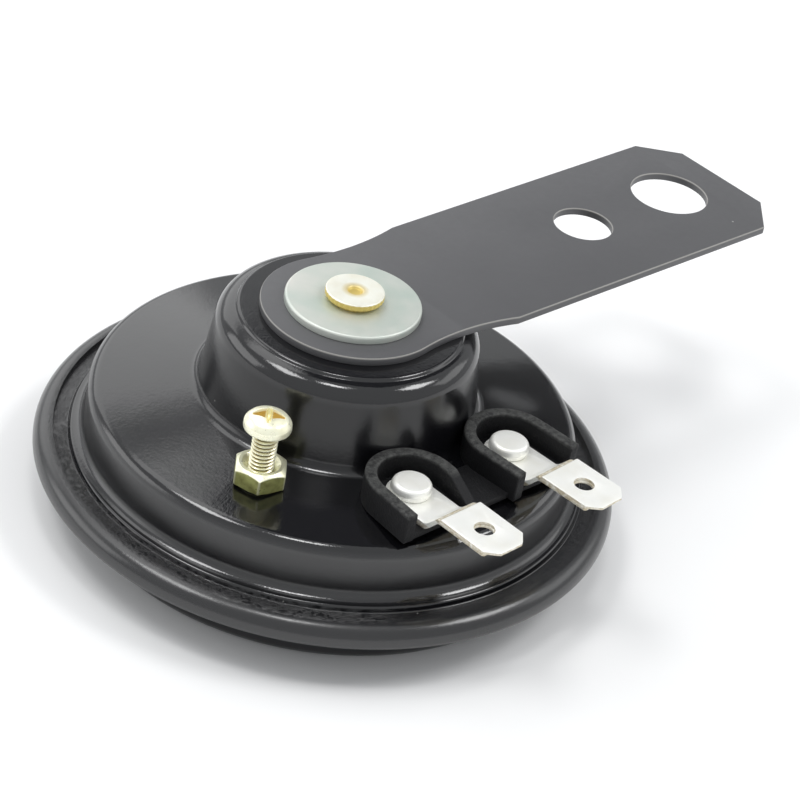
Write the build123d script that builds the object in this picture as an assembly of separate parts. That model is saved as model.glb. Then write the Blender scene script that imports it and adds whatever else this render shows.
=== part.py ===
"""Electric disc horn, 12 V, with a riveted mounting bracket and two 6.3 mm spade terminals.

Millimetres, +Z up. The origin is the centre of the flat front face and Z is the horn's axis. The horn
lies on its front face, so the front cover is at the bottom and the coil pot and bracket are on top.
The bracket points along +X and the spade terminals point along -Y.
"""
from build123d import *
from math import acos, atan2, cos, degrees, hypot, radians, sin, tan
import os

os.makedirs("parts", exist_ok=True)

# ---------------------------------------------------------------- driving dimensions
# pressed shell, from the coil pot outwards
SHELL_T = 0.8
SEAT_Z, SEAT_R = 27.3, 13.2         # flat seat of the bracket on the pot
POT_TOP_R, POT_TOP_Z = 15.35, 26.6   # pot wall, where it would meet the top
POT_BASE_R, POT_BASE_Z = 16.65, 16.55
SHOULDER_R, SHOULDER_Z = 29.15, 14.95
WALL_FOOT_R, STEP_Z, STEP_R = 29.3, 8.6, 30.75
FLANGE_R, FLANGE_TOP_Z = 33.0, 7.9

# front cover and the stack clamped in its rolled rim
RIM_R, RIM_TOP_Z, LIP_R = 35.0, 8.5, 32.8
COVER_T = 0.6
FACE_R, FACE_RECESS = 30.0, 1.0
RECESS_R = (10.4, 25.0)
SOUND_SLOTS, SLOT_W, SLOT_R = 18, 2.2, (13.6, 21.8)
GASKET_T, GASKET_R = 0.3, (30.9, 32.9)
DIAPHRAGM_T, DIAPHRAGM_R, CENTRE_Z = 0.3, 33.9, 7.0

# riveted core, bracket and washer
TAIL_R, CORE_R, CORE_LOW_Z = 2.5, 5.0, 15.2
HEAD_R, HEAD_NECK_R, HEAD_H = 3.5, 2.95, 1.25
BRACKET_T, BRACKET_END_R, BRACKET_END_X = 1.0, 10.8, 65.0
BRACKET_FAR_Y, BRACKET_NEAR_Y = 10.95, (-11.5, -12.0)   # straight sides, the near one at each end
BRACKET_LEAVE, BRACKET_CORNER_X, BRACKET_CUT = 80.0, 16.3, 4.5
SMALL_HOLE_X, SMALL_HOLE_R = 39.1, 3.75
LARGE_HOLE_X, LARGE_HOLE_R = 55.3, 5.0
WASHER_R, WASHER_T = 8.05, 1.0

# pitch adjusting screw, M3 x 12, and its nut
SCREW_X, SCREW_Y = -19.3, -8.4
SCREW_R, SCREW_LENGTH, SCREW_HEAD_Z = 1.45, 12.0, 22.9
SCREW_HEAD_R, SCREW_HEAD_H = 2.72, 2.2
NUT_SEAT_Z, NUT_H, NUT_AF, NUT_BORE_R, NUT_CORNER = 16.0, 2.4, 5.7, 1.5, 47.0

# terminal block with two open collars: x, y and direction in which each one opens
COLLARS = ((-7.15, -20.3, -93.5), (8.45, -20.3, -85.0))
COLLAR_R, COLLAR_WALL, COLLAR_LEG = 5.5, 1.4, 5.9
BLOCK_LOW_Z, BLOCK_FLOOR_Z, BLOCK_TOP_Z, BLOCK_FRONT_Y = 15.9, 16.6, 19.6, -25.8
BLADE_T, BLADE_W, BLADE_FOOT_W, BLADE_TOP_Z = 0.8, 6.3, 5.7, 19.6
BLADE_ROOT, BLADE_TIP, BLADE_HOLE, BLADE_HOLE_R = 7.8, 15.5, 11.25, 1.15
BLADE_FOLD_END = 14.1                # the folded lower layer stops here
BLADE_DIRECTIONS = (-88.6, -86.5)
PIN_R, PIN_HEAD_R, PIN_HEAD_H = 1.5, 2.4, 1.65

# coil
COIL_LOW_Z, COIL_TOP_Z, COIL_FLANGE_R, WINDING_R = 17.65, 25.7, 13.4, 12.6
YOKE_R, YOKE_T, YOKE_HOLE_R = 15.55, 1.0, 8.4

# armature, on the centre of the diaphragm
AIR_GAP, ARMATURE_R = 0.8, 7.3
ARMATURE_FLANGE_R, ARMATURE_FLANGE_Z = 9.8, 10.25

# contact breaker, along the line from the axis through the adjusting screw
STACK_R, STACK_HALF, STACK_W = 24.6, 1.7, 9.2
RIVET_R, RIVET_SPREAD = 0.9, 2.7
TIP_R, TIP_T, TIP_AT = 1.2, 0.7, 13.2

# ---------------------------------------------------------------- sizes that follow
FLANGE_LOW_Z = FLANGE_TOP_Z - SHELL_T
DIAPHRAGM_TOP_Z = FLANGE_LOW_Z - GASKET_T
DIAPHRAGM_LOW_Z = DIAPHRAGM_TOP_Z - DIAPHRAGM_T
COVER_POCKET_Z = DIAPHRAGM_LOW_Z - GASKET_T
POT_ROOF_Z = SEAT_Z - SHELL_T
BRACKET_TOP_Z = SEAT_Z + BRACKET_T
WASHER_TOP_Z = BRACKET_TOP_Z + WASHER_T
CENTRE_TOP_Z = CENTRE_Z + DIAPHRAGM_T
ARMATURE_TOP_Z = CORE_LOW_Z - AIR_GAP
SCREW_TIP_Z = SCREW_HEAD_Z - SCREW_LENGTH
BLADE_LOW_Z = BLOCK_FLOOR_Z + BLADE_T
PIN_HEAD_Z = BLADE_LOW_Z + PIN_HEAD_H
INNER_TAG_Z, TAG_T = 13.9, 0.4
TAG_DIRECTIONS = (178.0, 180 + degrees(atan2(COLLARS[1][1], COLLARS[1][0])))
TAG_LENGTHS = (4.4, 8.0)
BREAKER_ANGLE = degrees(atan2(SCREW_Y, SCREW_X))
SCREW_AT = hypot(SCREW_X, SCREW_Y)
PAD_T, ARM_T, LEAF_T, CLAMP_T = 0.7, 0.6, 0.3, 0.8
ARM_TOP_Z = SCREW_TIP_Z - PAD_T
LEAF_LOW_Z = ARM_TOP_Z + 1.0
CARRIER_LOW_Z = LEAF_LOW_Z + LEAF_T + 0.5
NOSE_LOW_Z = ARMATURE_FLANGE_Z + 0.35
LUG_AT, LUG_ACROSS = 24.3, 6.25
LEAD_R, LEAD_BEND, LEAD_OUT_Z, NOTCH_AT = 0.35, 0.8, 20.0, 14.6
LEAD_ANGLES = (degrees(atan2(COLLARS[1][1], COLLARS[1][0])), BREAKER_ANGLE - degrees(atan2(LUG_ACROSS, LUG_AT)))

BEND_SHARE = 0.9                     # most of a stretch that one bend may take
SHELL_LINE = (
    (TAIL_R, SEAT_Z), (SEAT_R, SEAT_Z), (SEAT_R + 0.3, SEAT_Z - 0.36), (POT_TOP_R, POT_TOP_Z),
    (POT_BASE_R, POT_BASE_Z), (SHOULDER_R, SHOULDER_Z), (WALL_FOOT_R, STEP_Z), (STEP_R, STEP_Z),
    (STEP_R + 0.25, FLANGE_TOP_Z), (FLANGE_R, FLANGE_TOP_Z),
)
SHELL_RADII = (0.1, 0.1, 2.3, 1.4, 1.6, 1.3, 0.3, 0.2)
COVER_LINE = (
    (0, 0), (RECESS_R[0], 0), (RECESS_R[0] + 1, FACE_RECESS), (RECESS_R[1] - 1, FACE_RECESS),
    (RECESS_R[1], 0), (FACE_R, 0), (FACE_R + 0.6, COVER_POCKET_Z - COVER_T),
    (RIM_R, COVER_POCKET_Z - COVER_T), (RIM_R, RIM_TOP_Z), (LIP_R, RIM_TOP_Z),
)
COVER_RADII = (0.5, 0.5, 0.5, 0.5, 2.0, 0.8, 0.85, 1.9)


# ---------------------------------------------------------------- helpers
def disc(x, y, radius, low_z, high_z):
    """An upright cylinder."""
    foot = (Align.CENTER, Align.CENTER, Align.MIN)
    return Pos(x, y, low_z) * Cylinder(radius, high_z - low_z, align=foot)


def ring(outer_r, inner_r, low_z, high_z):
    """A flat ring on the horn's axis."""
    return disc(0, 0, outer_r, low_z, high_z) - disc(0, 0, inner_r, low_z, high_z)


def ways(points):
    """Unit directions of the stretches between points."""
    return [(end - start).normalized() for start, end in zip(points, points[1:])]


def shifted(line, radii, distance):
    """A bent line moved to its left by a distance, with every bend kept concentric."""
    points = [Vector(x, z) for x, z in line]
    along = ways(points)
    left = [Vector(-way.Y, way.X) for way in along]
    moved = [points[0] + left[0] * distance]
    bends = []
    for index, radius in enumerate(radii, 1):
        before, after = left[index - 1], left[index]
        moved.append(points[index] + (before + after) * (distance / (1 + before.dot(after))))
        turn = along[index - 1].X * along[index].Y - along[index - 1].Y * along[index].X
        bends.append(max(radius - distance if turn > 0 else radius + distance, 0.04))
    moved.append(points[-1] + left[-1] * distance)
    for index in range(1, len(moved) - 1):
        half = acos(max(-1.0, min(1.0, along[index - 1].dot(along[index])))) / 2
        room = min((moved[index] - moved[index - 1]).length, (moved[index + 1] - moved[index]).length)
        bends[index - 1] = min(bends[index - 1], BEND_SHARE * room / tan(half))
    return [(point.X, point.Y) for point in moved], bends


def rounded(line, radii):
    """Draws a line with a tangent arc at each inner point, and returns its two ends."""
    points = [Vector(x, z) for x, z in line]
    along = ways(points)
    here = points[0]
    for index, radius in enumerate(radii, 1):
        before, after, corner = along[index - 1], along[index], points[index]
        half = acos(max(-1.0, min(1.0, before.dot(after)))) / 2
        reach = radius * tan(half)
        start, end = corner - before * reach, corner + after * reach
        inward = (after - before).normalized()
        if (start - here).length > 1e-5:
            Line(here, start)
        ThreePointArc(start, corner + inward * (radius / cos(half) - radius), end)
        here = end
    Line(here, points[-1])
    return points[0], points[-1]


def pressed(line, radii, thickness):
    """A pressed sheet: a line with rounded bends, thickened to its left and revolved."""
    with BuildSketch(Plane.XZ) as section:
        with BuildLine():
            one = rounded(line, radii)
            two = rounded(*shifted(line, radii, thickness))
            Line(one[0], two[0])
            Line(one[1], two[1])
        make_face()
    return revolve(section.sketch, axis=Axis.Z)


def turned(*outline):
    """A turned piece from its closed outline in radius and height."""
    with BuildSketch(Plane.XZ) as section:
        with BuildLine():
            Polyline(*outline, close=True)
        make_face()
    return revolve(section.sketch, axis=Axis.Z)


def slab(outline, low_z, high_z):
    """An upright prism over a closed outline of x, y points."""
    return Pos(0, 0, low_z) * extrude(make_face(Polyline(*outline, close=True)), high_z - low_z)


def stadium(x, y, direction, radius, length, low_z, high_z):
    """A slab with one round end at x, y and straight sides that run in a direction, in degrees."""
    box = Pos(length / 2, 0, low_z) * Box(length, 2 * radius, high_z - low_z,
                                          align=(Align.CENTER, Align.CENTER, Align.MIN))
    return Pos(x, y, 0) * Rot(0, 0, direction) * (box + disc(0, 0, radius, low_z, high_z))


def strip(path, thickness, widths):
    """A bent strip along +X: its lower line in x, z, and its plan as half-widths at each x."""
    side = [(x, z) for x, z in path] + [(x, z + thickness) for x, z in reversed(path)]
    bent = extrude(Plane.XZ * make_face(Polyline(*side, close=True)), 20, both=True)
    plan = [(x, w) for x, w in widths] + [(x, -w) for x, w in reversed(widths)]
    return bent & slab(plan, 0, 30)


def at_breaker(piece):
    """Turns a piece drawn along +X to the line through the adjusting screw."""
    return Rot(0, 0, BREAKER_ANGLE) * piece


def wire(points):
    """A round lead through the points, with rounded bends."""
    path = FilletPolyline(*points, radius=LEAD_BEND)
    start = Plane(origin=path @ 0, z_dir=path % 0)
    return sweep(start * Circle(LEAD_R), path=path)


def under(line, radii):
    """The solid of revolution below a bent line, down to the height of its far end."""
    with BuildSketch(Plane.XZ) as section:
        with BuildLine():
            top, foot = rounded(line, radii)
            Polyline(top, (0, top.Y), (0, foot.Y), foot)
        make_face()
    return revolve(section.sketch, axis=Axis.Z)


def inside_of_shell():
    """The space under the back shell, for pieces that lie against its sloping inner face."""
    return under(*shifted(SHELL_LINE, SHELL_RADII, -SHELL_T))


def above_shell():
    """The back shell filled solid, for pieces whose underside follows its slope."""
    return under(SHELL_LINE, SHELL_RADII)


# ---------------------------------------------------------------- housing
def back_shell():
    """Deep drawn shell with the coil pot, a coined seat for the nut, and holes for the terminals."""
    shell = pressed(SHELL_LINE, SHELL_RADII, -SHELL_T)
    shell += disc(SCREW_X, SCREW_Y, 3.9, NUT_SEAT_Z - 0.9, NUT_SEAT_Z)
    shell -= disc(SCREW_X, SCREW_Y, 3.9, NUT_SEAT_Z, NUT_SEAT_Z + 1.5)
    shell -= disc(SCREW_X, SCREW_Y, NUT_BORE_R + 0.9, 10, 20)
    for x, y, _ in COLLARS:
        shell -= disc(x, y, PIN_R + 1.5, 10, 20)
    return shell


def front_cover():
    """Pressed cover whose edge is rolled over the flange of the shell, with a ring of sound slots."""
    cover = pressed(COVER_LINE, COVER_RADII, COVER_T)
    length = SLOT_R[1] - SLOT_R[0] + SLOT_W
    slot = extrude(Pos((SLOT_R[0] + SLOT_R[1]) / 2, 0) * SlotOverall(length, SLOT_W), 3)
    for index in range(SOUND_SLOTS):
        cover -= Rot(0, 0, 360 / SOUND_SLOTS * index) * slot
    return cover


def diaphragm():
    """Thin spring steel disc, raised at its centre, with one stiffening bead."""
    line = ((PIN_R, CENTRE_Z), (11.5, CENTRE_Z), (12.5, DIAPHRAGM_LOW_Z), (14.0, DIAPHRAGM_LOW_Z),
            (15.0, CENTRE_Z), (23.5, CENTRE_Z), (26.0, DIAPHRAGM_LOW_Z), (DIAPHRAGM_R, DIAPHRAGM_LOW_Z))
    return pressed(line, (0.5, 0.5, 0.5, 0.5, 1.0, 1.0), DIAPHRAGM_T)


# ---------------------------------------------------------------- bracket and core
def mounting_bracket():
    """Flat strap: a round end over the pot, a shallow waist, parallel sides, two holes, cut corners."""
    far, near, end_r, end_x = BRACKET_FAR_Y, BRACKET_NEAR_Y, BRACKET_END_R, BRACKET_END_X
    leave = radians(BRACKET_LEAVE)
    waist = Vector(end_r * cos(leave), end_r * sin(leave))
    with BuildSketch() as outline:
        with BuildLine():
            ThreePointArc(waist, (-end_r, 0), (waist.X, -waist.Y))
            TangentArc(waist, (BRACKET_CORNER_X, far), tangent=(sin(leave), -cos(leave)))
            TangentArc((waist.X, -waist.Y), (BRACKET_CORNER_X, near[0]), tangent=(sin(leave), cos(leave)))
            Polyline((BRACKET_CORNER_X, far), (end_x - BRACKET_CUT, far), (end_x, far - BRACKET_CUT),
                     (end_x, near[1] + BRACKET_CUT), (end_x - BRACKET_CUT, near[1]), (BRACKET_CORNER_X, near[0]))
        make_face()
    strap = Pos(0, 0, SEAT_Z) * extrude(outline.sketch, BRACKET_T)
    strap = fillet(strap.faces().sort_by(Axis.Z)[-1].edges(), 0.15)
    for x, radius in ((0, TAIL_R), (SMALL_HOLE_X, SMALL_HOLE_R), (LARGE_HOLE_X, LARGE_HOLE_R)):
        strap -= disc(x, 0, radius, SEAT_Z - 1, BRACKET_TOP_Z + 1)
    return strap


def bracket_washer():
    """Thick plain washer with a rounded upper edge, under the riveted head."""
    washer = disc(0, 0, WASHER_R, BRACKET_TOP_Z, WASHER_TOP_Z)
    washer = fillet(washer.edges().group_by(Axis.Z)[-1], 0.35)
    return washer - disc(0, 0, TAIL_R, BRACKET_TOP_Z - 1, WASHER_TOP_Z + 1)


def core_post():
    """Iron core: pole face inside, shoulder under the pot, and a tail riveted over the washer."""
    top = WASHER_TOP_Z + HEAD_H
    return turned((0, CORE_LOW_Z), (CORE_R - 0.4, CORE_LOW_Z), (CORE_R, CORE_LOW_Z + 0.4),
                  (CORE_R, POT_ROOF_Z), (TAIL_R, POT_ROOF_Z), (TAIL_R, WASHER_TOP_Z),
                  (HEAD_NECK_R, WASHER_TOP_Z), (HEAD_R, WASHER_TOP_Z + 0.5), (HEAD_R, top - 0.15), (HEAD_R - 0.15, top),
                  (1.0, top), (0.6, top - 0.25), (0, top - 0.25))


# ---------------------------------------------------------------- pitch adjustment
def adjusting_nut():
    """Hex nut with a chamfered, countersunk top and a pilot through the shell."""
    corner = NUT_AF / cos(radians(30)) / 2
    low, high = NUT_SEAT_Z, NUT_SEAT_Z + NUT_H
    hexagon = Pos(SCREW_X, SCREW_Y, low) * Rot(0, 0, NUT_CORNER) * extrude(RegularPolygon(corner, 6), NUT_H)
    crown = turned((0, low), (corner + 0.1, low), (corner + 0.1, high - 0.42), (corner - 0.75, high), (0, high))
    nut = hexagon & (Pos(SCREW_X, SCREW_Y, 0) * crown)
    nut += disc(SCREW_X, SCREW_Y, NUT_BORE_R + 0.9, low - 0.9, low)
    sink = turned((0, high - 0.6), (NUT_BORE_R, high - 0.6), (NUT_BORE_R + 0.6, high), (0, high))
    return nut - disc(SCREW_X, SCREW_Y, NUT_BORE_R, 10, 20) - Pos(SCREW_X, SCREW_Y, 0) * sink


def adjusting_screw():
    """M3 pan head screw with a cross recess and a plain shank where the thread runs."""
    low, high = SCREW_HEAD_Z, SCREW_HEAD_Z + SCREW_HEAD_H
    wide = SCREW_HEAD_R
    head = turned((0, low), (wide - 0.3, low), (wide, low + 0.3), (wide, low + 0.8), (wide - 0.3, low + 1.35),
                  (wide - 0.9, low + 1.8), (wide - 1.7, low + 2.08), (0, high))
    shank = turned((0, SCREW_TIP_Z), (SCREW_R - 0.4, SCREW_TIP_Z), (SCREW_R, SCREW_TIP_Z + 0.4), (SCREW_R, low), (0, low))
    for turn in (25, 115):
        head -= Pos(0, 0, high) * Rot(0, 0, turn) * extrude(Rectangle(3.2, 0.66), -1.2, taper=12)
    return Pos(SCREW_X, SCREW_Y, 0) * (shank + head)


# ---------------------------------------------------------------- terminals
def terminal_block():
    """Moulded block: a floor with two open collars, each round behind its pin and open in front."""
    first, second = COLLARS
    floor = slab(((first[0] - 4.6, -22), (first[0] - 5.2, BLOCK_FRONT_Y), (second[0] + 5.0, BLOCK_FRONT_Y),
                  (second[0] + 4.6, -22), (second[0], -19), (first[0], -19)), BLOCK_LOW_Z, BLOCK_FLOOR_Z)
    for x, y, direction in COLLARS:
        floor += stadium(x, y, direction, COLLAR_R, COLLAR_LEG, BLOCK_LOW_Z, BLOCK_TOP_Z)
    bushes = Part()
    for x, y, direction in COLLARS:
        floor -= stadium(x, y, direction, COLLAR_R - COLLAR_WALL, 12, BLOCK_FLOOR_Z, BLOCK_TOP_Z + 1)
        floor -= disc(x, y, PIN_R, 10, 20)
        bushes += disc(x, y, PIN_R + 1.45, INNER_TAG_Z, BLOCK_LOW_Z + 0.1) - disc(x, y, PIN_R, 10, 20)
    inner, outer, top = COLLAR_R - COLLAR_WALL, COLLAR_R, BLOCK_TOP_Z
    wedge = make_face(Polyline((1.2, top), (7, top), (7, BLOCK_FLOOR_Z - 0.4), close=True))
    wedge = Pos(0, outer + 0.1, 0) * extrude(Plane.XZ * wedge, outer - inner + 0.2)
    x, y, direction = first
    floor -= Pos(x, y, 0) * Rot(0, 0, direction) * wedge
    return floor - above_shell() + (bushes - inside_of_shell())


def terminal_blade(x, y, direction):
    """Spade terminal: a foot round the pin, a raised step, and a 6.3 mm blade with a hole."""
    foot_x, root, tip = BLADE_ROOT - 2.9, BLADE_ROOT, BLADE_TIP
    low, high = BLOCK_FLOOR_Z, BLADE_TOP_Z - BLADE_T
    path = ((-BLADE_FOOT_W / 2, low), (foot_x, low), (root - 0.2, high), (tip, high))
    half, foot = BLADE_W / 2, BLADE_FOOT_W / 2
    widths = ((-foot, foot), (root - 0.8, foot), (root - 0.4, half), (tip - 1.3, half), (tip, half - 1.4))
    blade = strip(path, BLADE_T, widths)
    corner = slab(((-5, -5), (0, -5), (0, 5), (-5, 5)), low - 1, low + 2) - disc(0, 0, foot, low - 1, low + 2)
    blade = blade - corner - disc(0, 0, PIN_R, 10, 20) - disc(BLADE_HOLE, 0, BLADE_HOLE_R, 10, 30)
    blade -= slab(((BLADE_FOLD_END, -5), (tip + 1, -5), (tip + 1, 5), (BLADE_FOLD_END, 5)), 10, high + BLADE_T / 2)
    return Pos(x, y, 0) * Rot(0, 0, direction) * blade


def terminal_rivet(x, y):
    """Rivet that holds a blade: factory head outside, upset tail under the inner tag."""
    top, low, neck = PIN_HEAD_Z, INNER_TAG_Z - 0.7, INNER_TAG_Z
    pin = turned((0, low), (PIN_HEAD_R - 0.3, low), (PIN_HEAD_R - 0.1, neck), (PIN_R, neck), (PIN_R, BLADE_LOW_Z),
                 (PIN_HEAD_R, BLADE_LOW_Z), (PIN_HEAD_R, top - 0.75), (PIN_HEAD_R - 0.3, top - 0.3),
                 (PIN_HEAD_R - 0.9, top - 0.05), (0, top))
    return Pos(x, y, 0) * pin


def terminal_insulator():
    """Fibre plate under the plateau that keeps the pins and tags off the shell."""
    first, second = COLLARS
    plate = slab(((first[0] - 4, -23.8), (first[0] - 4, -17.6), (second[0] + 4, -17.6), (second[0] + 4, -23.8)),
                 INNER_TAG_Z + TAG_T, 17)
    plate = plate & inside_of_shell()
    for x, y, _ in COLLARS:
        plate -= disc(x, y, PIN_R, 10, 20)
    return plate


def terminal_tag(x, y, direction, length):
    """Solder tag clamped under a terminal pin."""
    tag = stadium(x, y, direction, 2.3, length, INNER_TAG_Z, INNER_TAG_Z + TAG_T)
    return tag - disc(x, y, PIN_R, 10, 20)


# ---------------------------------------------------------------- coil and armature
def coil_bobbin():
    """Moulded bobbin: a barrel over the core between two flanges."""
    wall, flange = 0.9, 0.8
    inner = CORE_R + 0.1
    return turned((inner, COIL_LOW_Z), (COIL_FLANGE_R, COIL_LOW_Z), (COIL_FLANGE_R, COIL_LOW_Z + flange),
                  (inner + wall, COIL_LOW_Z + flange), (inner + wall, COIL_TOP_Z - flange),
                  (COIL_FLANGE_R, COIL_TOP_Z - flange), (COIL_FLANGE_R, COIL_TOP_Z), (inner, COIL_TOP_Z))


def armature():
    """Soft iron armature: a plunger facing the core and a flange that works the breaker."""
    return turned((PIN_R, CENTRE_TOP_Z), (ARMATURE_FLANGE_R - 0.3, CENTRE_TOP_Z), (ARMATURE_FLANGE_R, CENTRE_TOP_Z + 0.3),
                  (ARMATURE_FLANGE_R, ARMATURE_FLANGE_Z), (ARMATURE_R, ARMATURE_FLANGE_Z),
                  (ARMATURE_R, ARMATURE_TOP_Z - 0.4), (ARMATURE_R - 0.4, ARMATURE_TOP_Z),
                  (2.9, ARMATURE_TOP_Z), (2.9, ARMATURE_TOP_Z - 1.4), (PIN_R, ARMATURE_TOP_Z - 1.4))


def armature_rivet():
    """Rivet through the armature, the diaphragm and the front washer."""
    seat, front = ARMATURE_TOP_Z - 1.4, CENTRE_Z - 0.6
    return turned((0, front - 0.8), (1.9, front - 0.8), (2.6, front - 0.3), (2.6, front), (PIN_R, front),
                  (PIN_R, seat), (2.7, seat), (2.7, seat + 0.9), (2.3, seat + 1.2), (0, seat + 1.2))


# ---------------------------------------------------------------- contact breaker
def lug(side, low_z, high_z):
    """Ear beside the stack where a lead is soldered, on one side of the breaker's line."""
    near, far = side * (STACK_W / 2 - 0.2), side * (STACK_W / 2 + 2.4)
    inner, outer = LUG_AT - 1.2, LUG_AT + 1.2
    return slab(((inner, near), (outer, near), (outer, far), (inner, far)), low_z, high_z)


def on_rivets(piece, radius):
    """Drills a breaker piece for the two rivets of the stack."""
    for side in (-RIVET_SPREAD, RIVET_SPREAD):
        piece -= disc(STACK_R, side, radius, 0, 30)
    return piece


def breaker_carrier():
    """Hat-shaped steel carrier welded under the plateau, holding the insulated stack."""
    inner, outer = STACK_R - STACK_HALF, STACK_R + STACK_HALF
    half, leg, foot = STACK_W / 2, 0.8, 2.2
    low = CARRIER_LOW_Z
    hat = slab(((inner, -half - leg), (outer, -half - leg), (outer, half + leg), (inner, half + leg)), low, low + leg)
    for side in (-1, 1):
        wall = (side * half, side * (half + leg))
        feet = (side * half, side * (half + foot))
        hat += slab(((inner, wall[0]), (outer, wall[0]), (outer, wall[1]), (inner, wall[1])), low, 18)
        hat += slab(((inner, feet[0]), (outer, feet[0]), (outer, feet[1]), (inner, feet[1])), low + 1.2, 18)
    return on_rivets(at_breaker_void(hat), RIVET_R)


def at_breaker_void(piece):
    """Trims a breaker piece to the space under the shell, in the breaker's own line."""
    return Rot(0, 0, -BREAKER_ANGLE) * (at_breaker(piece) & inside_of_shell())


def breaker_plate(low_z, high_z):
    """One insulating plate of the stack."""
    inner, outer, half = STACK_R - STACK_HALF, STACK_R + STACK_HALF, STACK_W / 2
    return on_rivets(slab(((inner, -half), (outer, -half), (outer, half), (inner, half)), low_z, high_z), RIVET_R)


def contact_spring():
    """Moving contact leaf: clamped in the stack, cranked down, with its nose over the armature flange."""
    tail, half = STACK_R + STACK_HALF, STACK_W / 2
    path = ((8.2, NOSE_LOW_Z), (15.6, NOSE_LOW_Z), (17.4, LEAF_LOW_Z), (tail, LEAF_LOW_Z))
    widths = ((8.2, 1.4), (9.4, 2.4), (15.6, 3.0), (22.4, half), (tail, half))
    leaf = strip(path, LEAF_T, widths) - disc(SCREW_AT, 0, SCREW_R + 0.5, 0, 30)
    leaf += lug(-1, LEAF_LOW_Z, LEAF_LOW_Z + LEAF_T)
    leaf -= disc(TIP_AT, 0, 0.6, 0, 30)
    return on_rivets(leaf, RIVET_R + 0.5)


def contact_arm():
    """Fixed contact arm, sprung against the adjusting screw, with a side lug for its lead."""
    tail, half = STACK_R + STACK_HALF, STACK_W / 2
    low = NOSE_LOW_Z - 2 * TIP_T - ARM_T
    path = ((TIP_AT - 1.7, low), (15.6, low), (18.0, ARM_TOP_Z - ARM_T), (tail, ARM_TOP_Z - ARM_T))
    widths = ((TIP_AT - 1.7, 1.6), (TIP_AT, 2.0), (18.0, 2.6), (22.4, half), (tail, half))
    arm = strip(path, ARM_T, widths)
    arm += lug(1, ARM_TOP_Z - ARM_T, ARM_TOP_Z)
    return on_rivets(arm - disc(TIP_AT, 0, 0.6, 0, 30), RIVET_R + 0.5)


def contact_tip(face_z, back_z):
    """Riveted contact tip between its working face and the back of its carrier."""
    step = 1 if back_z > face_z else -1
    head = sorted((face_z, face_z + step * TIP_T))
    stem = sorted((face_z + step * TIP_T, back_z))
    return disc(TIP_AT, 0, TIP_R, *head) + disc(TIP_AT, 0, 0.6, *stem)


def breaker_rivet(side):
    """Rivet through the insulated stack."""
    low, high = ARM_TOP_Z - ARM_T - 0.5, CARRIER_LOW_Z + 0.8
    shank = disc(STACK_R, side, RIVET_R, low, high)
    return shank + disc(STACK_R, side, 1.6, low - 0.6, low) + disc(STACK_R, side, 1.5, high, high + 0.4)


# ---------------------------------------------------------------- leads
def around(radius, angle, z):
    """A point given by its distance from the axis, its angle in degrees and its height."""
    return (radius * cos(radians(angle)), radius * sin(radians(angle)), z)


def coil_lead(angle, far_r, level_z, end_z):
    """Coil end: out of the winding, down through the yoke's notch, out to its lug and down on it."""
    points = [around(WINDING_R, angle, LEAD_OUT_Z), around(NOTCH_AT, angle, LEAD_OUT_Z)]
    if far_r > NOTCH_AT:
        points += [around(NOTCH_AT, angle, level_z), around(far_r, angle, level_z)]
    points.append(around(far_r, angle, end_z))
    return wire(points)


def arm_lead():
    """Lead from the lug of the fixed contact arm to the first terminal's tag."""
    x, y, _ = COLLARS[0]
    lug_r, lug_angle = hypot(LUG_AT, LUG_ACROSS), BREAKER_ANGLE + degrees(atan2(LUG_ACROSS, LUG_AT))
    tag = (x - 3.4, y + 0.12)
    level = ARM_TOP_Z + 1.5
    return wire([around(lug_r, lug_angle, ARM_TOP_Z), around(lug_r, lug_angle, level), (*tag, level),
                 (*tag, INNER_TAG_Z)])


def yoke_plate():
    """Steel ring that closes the magnetic path under the coil, notched for the two coil ends."""
    yoke = ring(YOKE_R, YOKE_HOLE_R, COIL_LOW_Z - YOKE_T, COIL_LOW_Z)
    for angle in LEAD_ANGLES:
        x, y, _ = around(NOTCH_AT, angle, 0)
        yoke -= disc(x, y, 2 * LEAD_R, 0, 30)
    return yoke


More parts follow.
